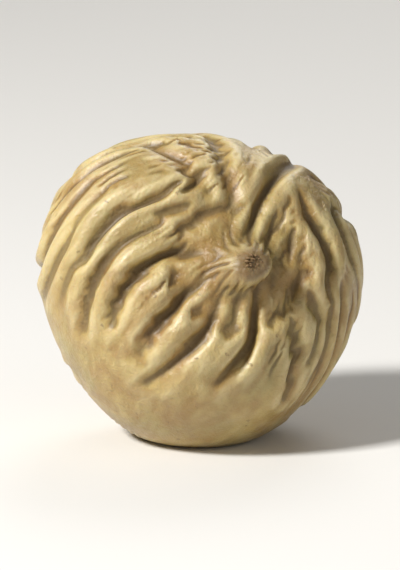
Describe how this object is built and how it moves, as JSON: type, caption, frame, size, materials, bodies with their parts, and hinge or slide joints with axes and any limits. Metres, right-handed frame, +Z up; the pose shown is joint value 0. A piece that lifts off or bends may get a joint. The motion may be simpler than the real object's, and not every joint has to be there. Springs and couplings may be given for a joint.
{
  "type": "dried fig",
  "caption": "Whole dried fig, flattened round, with folds drawn to a short neck, a puckered eye opposite and a pressed underside.",
  "frame": {"origin": "middle of the box that holds the fig, at the flat it rests on", "axes": "+Z up from the resting flat, -Y to the front, where the neck end faces, +X to the right"},
  "size_m": [0.0404, 0.0358, 0.0376],
  "materials": {
    "fig_skin": "dried fig skin: straw to honey colour, satin, paler on the ridges and browner in the folds"
  },
  "bodies": {
    "root": {"dried_fig": "fig_skin"}
  },
  "joints": []
}
